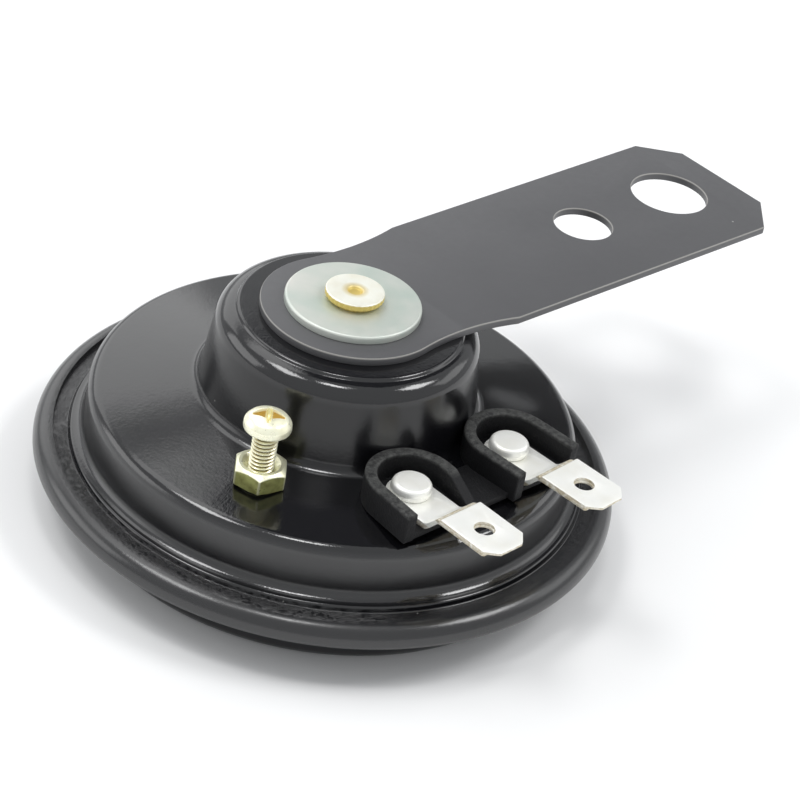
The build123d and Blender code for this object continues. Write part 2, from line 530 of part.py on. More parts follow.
# ---------------------------------------------------------------- write the nodes
nodes = {
    "back_shell": back_shell(),
    "front_cover": front_cover(),
    "rear_gasket": ring(GASKET_R[1], GASKET_R[0], DIAPHRAGM_TOP_Z, FLANGE_LOW_Z),
    "front_gasket": ring(GASKET_R[1], GASKET_R[0], COVER_POCKET_Z, DIAPHRAGM_LOW_Z),
    "diaphragm": diaphragm(),
    "mounting_bracket": mounting_bracket(),
    "bracket_washer": bracket_washer(),
    "core_post": core_post(),
    "adjusting_nut": adjusting_nut(),
    "adjusting_screw": adjusting_screw(),
    "terminal_block": terminal_block(),
    "terminal_insulator": terminal_insulator(),
    "coil_bobbin": coil_bobbin(),
    "coil_winding": ring(WINDING_R, CORE_R + 1.0, COIL_LOW_Z + 0.8, COIL_TOP_Z - 0.8),
    "coil_washer": ring(12.0, CORE_R + 0.2, COIL_TOP_Z, POT_ROOF_Z),
    "yoke_plate": yoke_plate(),
    "armature": armature(),
    "armature_rivet": armature_rivet(),
    "diaphragm_washer": ring(9.0, PIN_R, CENTRE_Z - 0.6, CENTRE_Z),
    "breaker_carrier": at_breaker(breaker_carrier()),
    "breaker_plate_upper": at_breaker(breaker_plate(LEAF_LOW_Z + LEAF_T, CARRIER_LOW_Z)),
    "breaker_plate_middle": at_breaker(breaker_plate(ARM_TOP_Z, LEAF_LOW_Z)),
    "breaker_plate_lower": at_breaker(breaker_plate(ARM_TOP_Z - ARM_T - 0.5, ARM_TOP_Z - ARM_T)),
    "contact_spring": at_breaker(contact_spring()),
    "contact_arm": at_breaker(contact_arm()),
    "contact_tip_moving": at_breaker(contact_tip(NOSE_LOW_Z - TIP_T, NOSE_LOW_Z + LEAF_T)),
    "contact_tip_fixed": at_breaker(contact_tip(NOSE_LOW_Z - TIP_T, NOSE_LOW_Z - 2 * TIP_T - ARM_T)),
    "screw_pad": at_breaker(disc(SCREW_AT, 0, 1.6, ARM_TOP_Z, SCREW_TIP_Z)),
}
nodes["arm_lead"] = arm_lead()
nodes["coil_lead_start"] = coil_lead(LEAD_ANGLES[0], NOTCH_AT, LEAD_OUT_Z, INNER_TAG_Z + TAG_T)
nodes["coil_lead_end"] = coil_lead(LEAD_ANGLES[1], hypot(LUG_AT, LUG_ACROSS), LEAF_LOW_Z + 1.2, LEAF_LOW_Z + LEAF_T)
for number, side in enumerate((-RIVET_SPREAD, RIVET_SPREAD), 1):
    nodes[f"breaker_rivet_{number}"] = at_breaker(breaker_rivet(side))
for number, (x, y, _) in enumerate(COLLARS, 1):
    nodes[f"terminal_blade_{number}"] = terminal_blade(x, y, BLADE_DIRECTIONS[number - 1])
    nodes[f"terminal_rivet_{number}"] = terminal_rivet(x, y)
    nodes[f"terminal_tag_{number}"] = terminal_tag(x, y, TAG_DIRECTIONS[number - 1], TAG_LENGTHS[number - 1])

for name, solid in nodes.items():
    export_step(solid, f"parts/{name}.step")
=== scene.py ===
"""Dresses the electric disc horn: fine surfaces, finishes, studio and camera.

Lengths in this file are millimetres in the horn's own frame (origin at the centre of the front face, +Z out
of the back, bracket along +X) and become metres in the meshes.
"""

import bmesh
import bpy
import numpy as np
from mathutils import Matrix, Vector


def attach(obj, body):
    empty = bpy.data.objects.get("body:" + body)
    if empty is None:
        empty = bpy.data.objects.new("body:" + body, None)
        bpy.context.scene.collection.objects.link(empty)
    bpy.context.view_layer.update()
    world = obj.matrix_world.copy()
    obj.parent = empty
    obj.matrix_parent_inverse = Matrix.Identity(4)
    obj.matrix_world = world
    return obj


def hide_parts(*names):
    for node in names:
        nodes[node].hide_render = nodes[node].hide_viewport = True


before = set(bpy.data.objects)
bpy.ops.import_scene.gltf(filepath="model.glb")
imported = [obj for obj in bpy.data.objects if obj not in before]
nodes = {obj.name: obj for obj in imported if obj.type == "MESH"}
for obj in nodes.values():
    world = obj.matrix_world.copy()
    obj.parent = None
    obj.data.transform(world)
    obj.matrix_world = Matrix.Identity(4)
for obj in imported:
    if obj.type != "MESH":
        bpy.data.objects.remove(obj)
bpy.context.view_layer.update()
MM = 0.001
TAU = 2 * np.pi

# ---------------------------------------------------------------- sizes of the horn
SHELL_T = 0.8
SEAT_R, SEAT_Z = 13.2, 27.3             # flat seat of the bracket on the pot
POT_TOP_R, POT_TOP_Z = 15.35, 26.6      # pot wall, where it would meet the top
POT_BASE_R, POT_BASE_Z = 16.65, 16.55
SHOULDER_R, SHOULDER_Z = 29.15, 14.95
WALL_FOOT_R, STEP_R, STEP_Z = 29.3, 30.75, 8.6
FLANGE_R, FLANGE_TOP_Z = 33.0, 7.9
COVER_T, POCKET_LOW_Z = 0.6, 5.6
RIM_R, LIP_R, RIM_TOP_Z = 35.0, 32.8, 8.5
FACE_R, FACE_RECESS, RECESS_R = 30.0, 1.0, (10.4, 25.0)
SOUND_SLOTS, SLOT_W, SLOT_R = 18, 2.2, (13.6, 21.8)
TAIL_R, CORE_R, CORE_LOW_Z = 2.5, 5.0, 15.2
HEAD_R, HEAD_NECK_R, HEAD_H = 3.5, 2.95, 1.25
BRACKET_T, BRACKET_END_R, BRACKET_END_X = 1.0, 10.8, 65.0
BRACKET_FAR_Y, BRACKET_NEAR_Y = 10.95, (-11.5, -12.0)
BRACKET_LEAVE, BRACKET_CORNER_X, BRACKET_CUT = 80.0, 16.3, 4.5
BRACKET_HOLES = ((0.0, TAIL_R), (39.1, 3.75), (55.3, 5.0))
WASHER_T, WASHER_R = 1.0, 8.05
SCREW_AT, SCREW_PITCH = (-19.3, -8.4), 0.5
SCREW_TIP_Z, SCREW_HEAD_Z, SCREW_TOP_Z = 10.9, 22.9, 25.1
NUT_AF, NUT_BORE_R, NUT_SEAT_Z, NUT_H, NUT_CORNER = 5.7, 1.5, 16.0, 2.4, 47.0
COLLARS = ((-7.15, -20.3, -93.5), (8.45, -20.3, -85.0))     # x, y and the way each one opens
COLLAR_R, COLLAR_WALL, COLLAR_LEG = 5.5, 1.4, 5.75
BLOCK_LOW_Z, BLOCK_FLOOR_Z, BLOCK_TOP_Z, BUSH_LOW_Z, BUSH_R = 15.9, 16.6, 19.6, 13.9, 2.95
BLADE_T, BLADE_W, BLADE_FOOT_W, BLADE_RISE = 0.8, 6.3, 5.7, 2.2
BLADE_ROOT, BLADE_TIP, BLADE_FOLD_END, BLADE_HOLE = 7.8, 15.5, 14.1, 11.25
BLADE_DIRECTIONS = (-88.6, -86.5)
PIN_R = 1.5

POT_ROOF_Z = SEAT_Z - SHELL_T
BRACKET_TOP_Z = SEAT_Z + BRACKET_T
WASHER_TOP_Z = BRACKET_TOP_Z + WASHER_T
HEAD_TOP_Z = WASHER_TOP_Z + HEAD_H
NUT_TOP_Z = NUT_SEAT_Z + NUT_H
FOOT_TOP_Z = BLOCK_FLOOR_Z + BLADE_T
CRIMP_WAY = (-0.985, -0.17)             # the rolled rim is roughest on this side
FINE, SHARP = 6.0, 32.0                 # degrees: step along a bend, and least angle of a hard edge

# ---------------------------------------------------------------- camera
LENS_MM, SENSOR_MM = 121.5, 36.0
CAMERA_MM = (-195.1023, -179.7799, 193.6952)
RIGHT = (0.724972, -0.669893, 0.160185)
UP = (0.284339, 0.502897, 0.816239)
BACK = (-0.627350, -0.546203, 0.555063)


def make_camera():
    """Long-lens camera above and in front of the terminals."""
    data = bpy.data.cameras.new("camera")
    data.lens = LENS_MM
    data.sensor_width = SENSOR_MM
    data.clip_start = 0.01
    camera = bpy.data.objects.new("camera", data)
    bpy.context.scene.collection.objects.link(camera)
    turn = Matrix((RIGHT, UP, BACK)).transposed().to_4x4()
    camera.matrix_world = Matrix.Translation(Vector(CAMERA_MM) * MM) @ turn
    bpy.context.scene.camera = camera


# ---------------------------------------------------------------- node materials
class Finish:
    """A material on a Principled surface, with helpers for its node network."""

    def __init__(self, name, colour, rough, metal=0.0, **sockets):
        self.material = bpy.data.materials.new(name)
        self.material.use_nodes = True
        self.tree = self.material.node_tree
        self.shader = self.tree.nodes["Principled BSDF"]
        self.set("Base Color", (*colour, 1.0))
        self.set("Roughness", rough)
        self.set("Metallic", metal)
        for socket, value in sockets.items():
            self.set(socket.replace("_", " "), value)
        self.coords = self.tree.nodes.new("ShaderNodeTexCoord").outputs["Object"]
        self.normal = None

    def set(self, socket, value):
        self.shader.inputs[socket].default_value = value

    def node(self, kind, **inputs):
        node = self.tree.nodes.new(kind)
        for key, value in inputs.items():
            self.plug(node.inputs[key.replace("_", " ")], value)
        return node

    def plug(self, socket, value):
        if isinstance(value, bpy.types.NodeSocket):
            self.tree.links.new(value, socket)
        else:
            socket.default_value = value

    def noise(self, scale, detail=3.0, rough=0.5, stretch=(1, 1, 1), turn=(0, 0, 0)):
        """Noise in features per millimetre, optionally stretched."""
        place = self.node("ShaderNodeMapping", Vector=self.coords)
        place.inputs["Scale"].default_value = [1000 * scale * part for part in stretch]
        place.inputs["Rotation"].default_value = turn
        cloud = self.node("ShaderNodeTexNoise", Vector=place.outputs[0], Scale=1.0, Detail=detail,
                          Roughness=rough)
        return cloud.outputs["Fac"]

    def spots(self, scale, size, chance):
        """Sparse round dots: 1 inside a dot and 0 outside. Scale is in cells per millimetre."""
        place = self.node("ShaderNodeMapping", Vector=self.coords)
        place.inputs["Scale"].default_value = [1000 * scale] * 3
        cells = self.node("ShaderNodeTexVoronoi", Vector=place.outputs[0], Scale=1.0)
        near = self.maths("LESS_THAN", cells.outputs["Distance"], size)
        split = self.node("ShaderNodeSeparateColor", Color=cells.outputs["Color"])
        rare = self.maths("LESS_THAN", split.outputs[0], chance)
        return self.maths("MULTIPLY", near, rare)

    def maths(self, operation, first, second=0.0, third=0.0):
        node = self.tree.nodes.new("ShaderNodeMath")
        node.operation = operation
        for socket, value in zip(node.inputs, (first, second, third)):
            self.plug(socket, value)
        return node.outputs[0]

    def remap(self, value, low, high, to_low, to_high):
        """A value that runs from to_low to to_high while the given one runs from low to high."""
        node = self.node("ShaderNodeMapRange", Value=value, From_Min=low, From_Max=high, To_Min=to_low,
                         To_Max=to_high)
        return node.outputs[0]

    def falls(self, value, low, high):
        """1 below low, 0 above high."""
        return self.remap(value, low, high, 1.0, 0.0)

    def band(self, value, up, down, level=1.0):
        """Rises to the level over the first range and falls back to 0 over the second."""
        return self.maths("MULTIPLY", self.remap(value, *up, 0.0, level), self.falls(value, *down))

    def mix(self, amount, first, second):
        node = self.tree.nodes.new("ShaderNodeMix")
        node.data_type = "RGBA"
        self.plug(node.inputs[0], amount)
        for socket, colour in ((node.inputs[6], first), (node.inputs[7], second)):
            self.plug(socket, colour if isinstance(colour, bpy.types.NodeSocket) else (*colour, 1.0))
        return node.outputs[2]

    def height(self, value, depth_mm, strength=1.0):
        """Adds relief from a 0 to 1 value, as deep as given in millimetres."""
        bump = self.node("ShaderNodeBump", Height=value, Distance=depth_mm * MM, Strength=strength)
        if self.normal is not None:
            self.tree.links.new(self.normal, bump.inputs["Normal"])
        self.normal = bump.outputs[0]
        self.tree.links.new(self.normal, self.shader.inputs["Normal"])

    def colour(self, value):
        self.tree.links.new(value, self.shader.inputs["Base Color"])

    def roughness(self, value):
        self.tree.links.new(value, self.shader.inputs["Roughness"])

    def position(self):
        """The three coordinates of a point, in millimetres."""
        split = self.node("ShaderNodeSeparateXYZ", Vector=self.coords)
        return [self.maths("MULTIPLY", part, 1 / MM) for part in split.outputs]

    def from_axis(self, x=0.0, y=0.0):
        """Distance from an upright axis in millimetres, the root of its parts' squares, and both parts."""
        across, along, _ = self.position()
        aside = self.maths("SUBTRACT", across, x)
        ahead = self.maths("SUBTRACT", along, y)
        square = self.maths("ADD", self.maths("MULTIPLY", aside, aside), self.maths("MULTIPLY", ahead, ahead))
        return self.maths("SQRT", square), aside, ahead


def black_enamel():
    """Glossy black stoving enamel on drawn steel: orange peel, grit, dust and scuffs by the rolled rim."""
    gloss = 0.85
    paint = Finish("black_enamel", (0.004, 0.004, 0.0045), 0.15, Specular_IOR_Level=gloss)
    _, _, high = paint.position()
    radius, across, along = paint.from_axis()
    by_rim = paint.band(radius, (STEP_R + 0.05, STEP_R + 0.45), (LIP_R, LIP_R + 0.8))
    facing = paint.maths("ADD", paint.maths("MULTIPLY", across, CRIMP_WAY[0]),
                         paint.maths("MULTIPLY", along, CRIMP_WAY[1]))
    arc = paint.remap(paint.maths("DIVIDE", facing, radius), 0.55, 0.92, 0.12, 1.0)
    by_rim = paint.maths("MULTIPLY", by_rim, arc)
    paint.height(paint.noise(0.35, 2.0), 0.012)
    paint.height(paint.noise(1.6, 2.0), 0.003)
    paint.height(paint.noise(3.0, 3.0, 0.7), 0.010)
    crimp = paint.remap(paint.noise(1.1, 5.0, 0.75), 0.45, 0.75, 0.0, 1.0)
    paint.height(paint.maths("MULTIPLY", crimp, by_rim), 0.22)

    patch = paint.remap(paint.noise(0.12, 4.0, 0.6), 0.3, 0.7, 0.05, 0.12)
    flange = paint.remap(radius, STEP_R - 0.25, LIP_R - 0.3, 0.0, 1.0)
    wall = paint.band(radius, (SHOULDER_R - 0.45, SHOULDER_R - 0.15),
                      (WALL_FOOT_R + 0.3, WALL_FOOT_R + 0.6), 0.24)
    pot = paint.band(radius, (POT_TOP_R - 0.15, POT_TOP_R + 0.25),
                     (POT_BASE_R + 0.15, POT_BASE_R + 0.55), 0.12)
    pot = paint.maths("MULTIPLY", pot, paint.falls(high, POT_TOP_Z - 2.1, POT_TOP_Z - 0.6))
    dull = paint.maths("ADD", patch, paint.maths("MULTIPLY", flange, 0.16))
    paint.roughness(paint.maths("ADD", dull, paint.maths("ADD", wall, pot)))
    sheen = paint.maths("SUBTRACT", gloss, paint.maths("MULTIPLY", pot, 2.1))
    sheen = paint.maths("ADD", sheen, paint.maths("MULTIPLY", wall, 0.6))
    paint.plug(paint.shader.inputs["Specular IOR Level"], sheen)

    dust = paint.spots(0.5, 0.045, 0.10)
    haze = paint.remap(paint.noise(0.5, 6.0, 0.7), 0.62, 0.8, 0.0, 0.5)
    base = paint.mix(haze, (0.004, 0.004, 0.005), (0.010, 0.010, 0.010))
    base = paint.mix(flange, base, (0.010, 0.010, 0.011))
    paint.colour(paint.mix(dust, base, (0.16, 0.16, 0.15)))
    return paint.material


def strap_paint():
    """Satin black paint on the flat strap: fine grain, a few pale nicks, and a painted highlight: a pale line
    along its rounded top edge.
    """
    paint = Finish("strap_paint", (0.07, 0.07, 0.074), 0.46, Specular_IOR_Level=0.8)
    paint.height(paint.noise(2.2, 3.0), 0.006)
    paint.height(paint.noise(0.1, 2.0), 0.010)
    tone = paint.remap(paint.noise(0.08, 4.0), 0.3, 0.7, 0.0, 1.0)
    base = paint.mix(tone, (0.072, 0.072, 0.076), (0.080, 0.080, 0.084))
    _, _, high = paint.position()
    # painted highlight: a pale line on the rounded top edge, just under the top face
    edge = paint.band(high, (BRACKET_TOP_Z - 0.25, BRACKET_TOP_Z - 0.12),
                      (BRACKET_TOP_Z - 0.04, BRACKET_TOP_Z - 0.01))
    base = paint.mix(edge, base, (0.30, 0.29, 0.27))
    nick = paint.spots(0.16, 0.025, 0.22)
    paint.colour(paint.mix(nick, base, (0.32, 0.32, 0.31)))
    paint.roughness(paint.remap(paint.noise(0.9, 4.0), 0.3, 0.7, 0.43, 0.49))
    return paint.material


def zinc():
    """Greenish passivated zinc: pale and lightly clouded, with faint turning marks round the hole."""
    metal = Finish("passivated_zinc", (0.62, 0.66, 0.60), 0.42, 0.6)
    cloud = metal.remap(metal.noise(0.14, 3.0, 0.5), 0.3, 0.7, 0.0, 1.0)
    metal.colour(metal.mix(cloud, (0.54, 0.62, 0.56), (0.73, 0.73, 0.68)))
    metal.roughness(metal.remap(metal.noise(1.2, 4.0, 0.6), 0.3, 0.7, 0.42, 0.52))
    radius, _, _ = metal.from_axis()
    rings = metal.maths("SINE", metal.maths("MULTIPLY", radius, TAU / 0.4))
    metal.height(metal.remap(rings, -1.0, 1.0, 0.0, 1.0), 0.0012)
    metal.height(metal.noise(3.0, 3.0), 0.002)
    return metal.material


def yellow_zinc(name, colour, rough, metal_share=1.0):
    """Yellow chromate on zinc, drifting from gold to silver. Returns the finish and its plain tone."""
    metal = Finish(name, colour, rough, metal_share)
    cloud = metal.remap(metal.noise(0.5, 2.0), 0.35, 0.65, 0.0, 1.0)
    pale = tuple(min(1.0, part * 1.10 + 0.02) for part in colour)
    metal.roughness(metal.remap(metal.noise(2.0, 3.0), 0.3, 0.7, rough - 0.05, rough + 0.07))
    metal.height(metal.noise(1.8, 2.0), 0.003)
    return metal, metal.mix(cloud, colour, pale)


def screw_zinc():
    """Pale chromated screw: painted shade in the thread's grooves, and in the head's recess a painted shade
    in dark gold with a painted highlight bar along one arm.
    """
    metal, tone = yellow_zinc("yellow_zinc", (0.97, 0.94, 0.70), 0.30, 0.5)
    _, _, high = metal.position()
    radius, aside, ahead = metal.from_axis(*SCREW_AT)
    # painted shade: near black in the thread's grooves
    groove_shade = metal.maths("MULTIPLY", metal.falls(radius, 1.20, 1.39),
                         metal.falls(high, SCREW_HEAD_Z - 0.3, SCREW_HEAD_Z))
    bulge = metal.maths("MULTIPLY", metal.maths("MULTIPLY", radius, radius), 0.06)
    under_crown = metal.falls(metal.maths("ADD", high, bulge), SCREW_TOP_Z - 0.32, SCREW_TOP_Z - 0.20)
    # painted shade inside the head's recess
    recess_shade = metal.maths("MULTIPLY", metal.maths("MULTIPLY", under_crown, metal.falls(radius, 1.9, 2.1)),
                      metal.remap(high, SCREW_HEAD_Z + 0.6, SCREW_HEAD_Z + 0.8, 0.0, 1.0))
    # in the recess: painted shade in dark gold, and a painted highlight as a pale bar along the arm at 46
    # degrees
    aslant = metal.maths("ABSOLUTE", metal.maths("SUBTRACT", metal.maths("MULTIPLY", aside, 0.719),
                                                 metal.maths("MULTIPLY", ahead, 0.695)))
    inside = metal.mix(metal.falls(aslant, 0.36, 0.46), (0.62, 0.40, 0.09), (0.93, 0.86, 0.48))
    deep = metal.maths("MAXIMUM", groove_shade, recess_shade)
    metal.colour(metal.mix(deep, tone, metal.mix(groove_shade, inside, (0.15, 0.12, 0.03))))
    return metal.material


def nut_zinc():
    """Chromated nut: pale crown and corners, and sides painted dark olive as a painted reflection of the
    black shell.
    """
    metal, tone = yellow_zinc("nut_zinc", (0.93, 0.91, 0.66), 0.32, 0.65)
    _, _, high = metal.position()
    radius, _, _ = metal.from_axis(*SCREW_AT)
    cone = metal.maths("ADD", high, metal.maths("MULTIPLY", radius, 0.62))
    # painted reflection of the black shell on the nut's sides, weaker at the corners
    side = metal.maths("MULTIPLY", metal.falls(cone, 19.82, 19.90), metal.remap(radius, 2.4, 2.6, 0.0, 1.0))
    corner = metal.remap(radius, 3.18, 3.26, 0.0, 0.6)
    side = metal.maths("MULTIPLY", side, metal.maths("SUBTRACT", 1.0, corner))
    cloud = metal.remap(metal.noise(1.0, 4.0), 0.35, 0.7, 0.0, 1.0)
    # painted reflection: the sides turn dark olive
    flank_reflection = metal.mix(cloud, (0.52, 0.54, 0.20), (0.28, 0.28, 0.09))
    metal.colour(metal.mix(side, tone, flank_reflection))
    return metal.material


def tail_zinc():
    """Core post's tail: near white crown, gold side and a gold dimple."""
    metal, tone = yellow_zinc("tail_zinc", (0.95, 0.93, 0.80), 0.36, 0.5)
    _, _, high = metal.position()
    radius, _, _ = metal.from_axis()
    side = metal.falls(high, HEAD_TOP_Z - 0.19, HEAD_TOP_Z - 0.09)
    dimple = metal.maths("MULTIPLY", metal.remap(radius, 0.5, 0.7, 0.3, 1.0), metal.falls(radius, 0.9, 1.7))
    gold = metal.maths("MAXIMUM", side, metal.maths("MULTIPLY", dimple, 0.85))
    metal.colour(metal.mix(gold, tone, (0.70, 0.54, 0.16)))
    return metal.material


def tin(name, edge_stain):
    """Bright tin plate: rolled grain, soft smudges, and brass showing on the cut edges by a given share."""
    metal = Finish(name, (0.96, 0.96, 0.92), 0.42, 0.45)
    grain = metal.noise(1.5, 4.0, 0.6, (4, 0.25, 1))
    smudge = metal.remap(metal.noise(0.3, 4.0), 0.45, 0.75, 0.0, 1.0)
    face = metal.mix(smudge, (0.98, 0.98, 0.94), (0.92, 0.91, 0.84))
    _, _, high = metal.position()
    blade_low = BLOCK_FLOOR_Z + BLADE_RISE
    blade_edge = metal.band(high, (blade_low - 0.08, blade_low - 0.02), (blade_low + 0.68, blade_low + 0.76))
    foot_edge = metal.falls(high, FOOT_TOP_Z - 0.18, FOOT_TOP_Z - 0.08)
    stain = metal.remap(metal.noise(1.6, 4.0, 0.7), 0.35, 0.6, 0.25, 0.95)
    cut = metal.maths("MULTIPLY", metal.maths("MAXIMUM", blade_edge, foot_edge), stain)
    metal.colour(metal.mix(metal.maths("MULTIPLY", cut, edge_stain), face, (0.42, 0.33, 0.16)))
    metal.roughness(metal.remap(grain, 0.3, 0.7, 0.38, 0.48))
    metal.height(grain, 0.002)
    return metal.material


def steel(name, colour, rough):
    """Plain bright or dark steel with a fine grain."""
    metal = Finish(name, colour, rough, 1.0)
    metal.colour(metal.mix(metal.noise(0.6, 4.0), [part * 0.8 for part in colour], colour))
    metal.roughness(metal.remap(metal.noise(2.0, 3.0), 0.3, 0.7, rough - 0.06, rough + 0.08))
    metal.height(metal.noise(3.0, 2.0), 0.004)
    return metal.material


def moulding():
    """Black phenolic moulding, coarse and worn grey on its top edges."""
    plastic = Finish("black_moulding", (0.006, 0.006, 0.006), 0.6, Specular_IOR_Level=0.3)
    plastic.height(plastic.noise(1.0, 5.0, 0.65), 0.14)
    plastic.height(plastic.noise(4.0, 3.0), 0.03)
    _, _, high = plastic.position()
    worn = plastic.remap(high, BLOCK_TOP_Z - 0.5, BLOCK_TOP_Z - 0.05, 0.0, 1.0)
    rub = plastic.remap(plastic.noise(1.4, 6.0, 0.75), 0.38, 0.62, 0.15, 1.0)
    worn = plastic.maths("MULTIPLY", worn, rub)
    plastic.colour(plastic.mix(worn, (0.005, 0.005, 0.006), (0.072, 0.073, 0.070)))
    return plastic.material


def insulation(name, colour):
    """Laminated fibre, lacquered paper or rubber with a light grain."""
    sheet = Finish(name, colour, 0.6)
    sheet.colour(sheet.mix(sheet.noise(0.8, 4.0), [part * 0.7 for part in colour], colour))
    sheet.height(sheet.noise(2.5, 3.0), 0.02)
    return sheet.material


def copper():
    """Enamelled copper wire, wound in turns along the axis."""
    wire = Finish("enamelled_copper", (0.55, 0.22, 0.08), 0.3, 1.0)
    _, _, high = wire.position()
    turns = wire.maths("SINE", wire.maths("MULTIPLY", high, TAU / 0.4))
    wire.height(wire.remap(turns, -1.0, 1.0, 0.0, 1.0), 0.12)
    wire.colour(wire.mix(wire.noise(0.5, 3.0), (0.45, 0.17, 0.06), (0.65, 0.28, 0.11)))
    return wire.material


# ---------------------------------------------------------------- surfaces
def rounded(points, radii, step=9.0):
    """A polyline with a tangent arc at each inner point: arc points lie at the arc's centre plus the radius
    times cosine and sine of an angle that runs from one tangent to the other."""
    points = np.asarray(points, float)
    along = np.diff(points, axis=0)
    along /= np.linalg.norm(along, axis=1)[:, None]
    path = [points[:1]]
    for corner, before, after, radius in zip(points[1:-1], along[:-1], along[1:], radii):
        angle = np.arccos(np.clip(before @ after, -1, 1))
        if radius <= 0 or angle < 1e-4:
            path.append(corner[None])
            continue
        inward = (after - before) / np.linalg.norm(after - before)
        centre = corner + inward * radius / np.cos(angle / 2)
        count = max(2, int(np.ceil(np.degrees(angle) / step)) + 1)
        swing = np.linspace(-angle / 2, angle / 2, count)[:, None]
        middle = (before + after) / np.linalg.norm(before + after)
        path.append(centre - inward * radius * np.cos(swing) + middle * radius * np.sin(swing))
    path.append(points[-1:])
    return np.vstack(path)


def shifted(line, radii, distance):
    """The same bent line moved to its left: each corner moves along the sum of its two normals, and each
    radius grows or shrinks by the distance."""
    points = np.asarray(line, float)
    along = np.diff(points, axis=0)
    along /= np.linalg.norm(along, axis=1)[:, None]
    left = np.stack([-along[:, 1], along[:, 0]], 1)
    share = 1 + np.sum(left[:-1] * left[1:], axis=1)
    inner = points[1:-1] + (left[:-1] + left[1:]) * (distance / share)[:, None]
    turn = along[:-1, 0] * along[1:, 1] - along[:-1, 1] * along[1:, 0]
    grown = np.asarray(radii) + np.where(turn > 0, -distance, distance)
    bends = np.maximum(grown, 0.04)
    moved = np.vstack([points[0] + left[0] * distance, inner, points[-1] + left[-1] * distance])
    length = np.linalg.norm(np.diff(moved, axis=0), axis=1)
    half = np.arccos(np.clip(np.sum(along[:-1] * along[1:], axis=1), -1, 1)) / 2
    return moved, np.minimum(bends, 0.9 * np.minimum(length[:-1], length[1:]) / np.tan(half))


def sheet_section(line, radii, thickness, step=9.0):
    """Closed section of a pressed sheet: the line out, and its shifted copy back."""
    back, bends = shifted(line, radii, thickness)
    return np.vstack([rounded(line, radii, step), rounded(back, bends, step)[::-1]])


def lattice(points, close_u, close_v):
    """Vertices and quads of a grid of points, closed or open each way."""
    u, v = points.shape[:2]
    index = np.arange(u * v).reshape(u, v)
    rows = index if close_u else index[:-1]
    after_u = np.roll(index, -1, axis=0) if close_u else index[1:]
    a, d = rows, after_u
    b, c = np.roll(a, -1, axis=1), np.roll(d, -1, axis=1)
    if not close_v:
        a, b, c, d = a[:, :-1], b[:, :-1], c[:, :-1], d[:, :-1]
    return points.reshape(-1, 3), np.stack([a, b, c, d], -1).reshape(-1, 4)


def softened(mesh, sharp=SHARP):
    """Smooth shading, with hard edges from the given angle up."""
    mesh.shade_smooth()
    mesh.set_sharp_from_angle(angle=np.radians(sharp))
    return mesh


def finish_mesh(name, parts, sharp=SHARP):
    """One mesh in metres from several grids: seams and poles are welded, and faces turned outwards."""
    mesh = bpy.data.meshes.new(name)
    vertices = np.vstack([part[0] for part in parts]) * MM
    starts = np.cumsum([0] + [len(part[0]) for part in parts[:-1]])
    faces = np.vstack([part[1] + start for part, start in zip(parts, starts)])
    mesh.from_pydata(vertices.tolist(), [], faces.tolist())
    work = bmesh.new()
    work.from_mesh(mesh)
    bmesh.ops.remove_doubles(work, verts=work.verts, dist=2e-7)
    bmesh.ops.recalc_face_normals(work, faces=work.faces)
    work.to_mesh(mesh)
    work.free()
    return softened(mesh, sharp)


def piece(name, mesh, material, body, replaced=()):
    """Puts a finished mesh in the scene with its material, ties it to its body and hides the nodes it stands
    for.
    """
    thing = bpy.data.objects.new(name, mesh)
    bpy.context.scene.collection.objects.link(thing)
    mesh.materials.clear()
    mesh.materials.append(material)
    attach(thing, body)
    if replaced:
        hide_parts(*replaced)
    return thing


def spin(section, centre=(0.0, 0.0), segments=192, wobble=None, closed=True):
    """Surface of revolution: radius times cosine and sine of the angle about an upright axis, and height. A
    closed section makes a ring, an open one starts and ends on the axis."""
    section = np.asarray(section, float)
    angle = np.arange(segments) * TAU / segments
    radius = np.repeat(section[:, :1], segments, axis=1)
    height = np.repeat(section[:, 1:], segments, axis=1)
    if wobble is not None:
        radius, height = wobble(radius, height, angle[None, :])
    points = np.stack([centre[0] + radius * np.cos(angle), centre[1] + radius * np.sin(angle), height], -1)
    return lattice(points, closed, True)


def carve(thing, cutters):
    """Takes cutter solids out of a piece and leaves the result as its mesh."""
    helpers = []
    for number, mesh in enumerate(cutters):
        helper = bpy.data.objects.new(f"cutter_{number}", mesh)
        bpy.context.scene.collection.objects.link(helper)
        cut = thing.modifiers.new(f"cut_{number}", "BOOLEAN")
        cut.operation, cut.solver, cut.object = "DIFFERENCE", "EXACT", helper
        helpers.append(helper)
    bpy.context.view_layer.update()
    graph = bpy.context.evaluated_depsgraph_get()
    made = bpy.data.meshes.new_from_object(thing.evaluated_get(graph))
    thing.modifiers.clear()
    old = thing.data
    thing.data = made
    made.name = old.name
    for helper in helpers:
        data = helper.data
        bpy.data.objects.remove(helper)
        bpy.data.meshes.remove(data)
    softened(made)


def plug_of(x, y, radius, low, high, sides=64):
    """A round cutter on an upright axis."""
    line = [(0, low), (radius, low), (radius, high), (0, high)]
    return finish_mesh("cutter", [spin(line, (x, y), sides, closed=False)])


def loop_of(corners, radii, step=6.0):
    """A closed outline with a tangent arc at each corner."""
    corners = np.asarray(corners, float)
    start = (corners[-1] + corners[0]) / 2
    line = np.vstack([start, corners, start])
    return rounded(line, radii, step)[:-1]


def inset(loop, distance):
    """A closed counter-clockwise outline moved inwards along the mean normal of each point's two sides."""
    ahead = np.roll(loop, -1, axis=0) - loop
    ahead /= np.linalg.norm(ahead, axis=1)[:, None]
    behind = np.roll(ahead, 1, axis=0)
    normal = np.stack([-(ahead + behind)[:, 1], (ahead + behind)[:, 0]], 1)
    size = np.linalg.norm(normal, axis=1)[:, None]
    scale = 2 / np.maximum(size, 0.2)
    return loop + normal / size * distance * scale


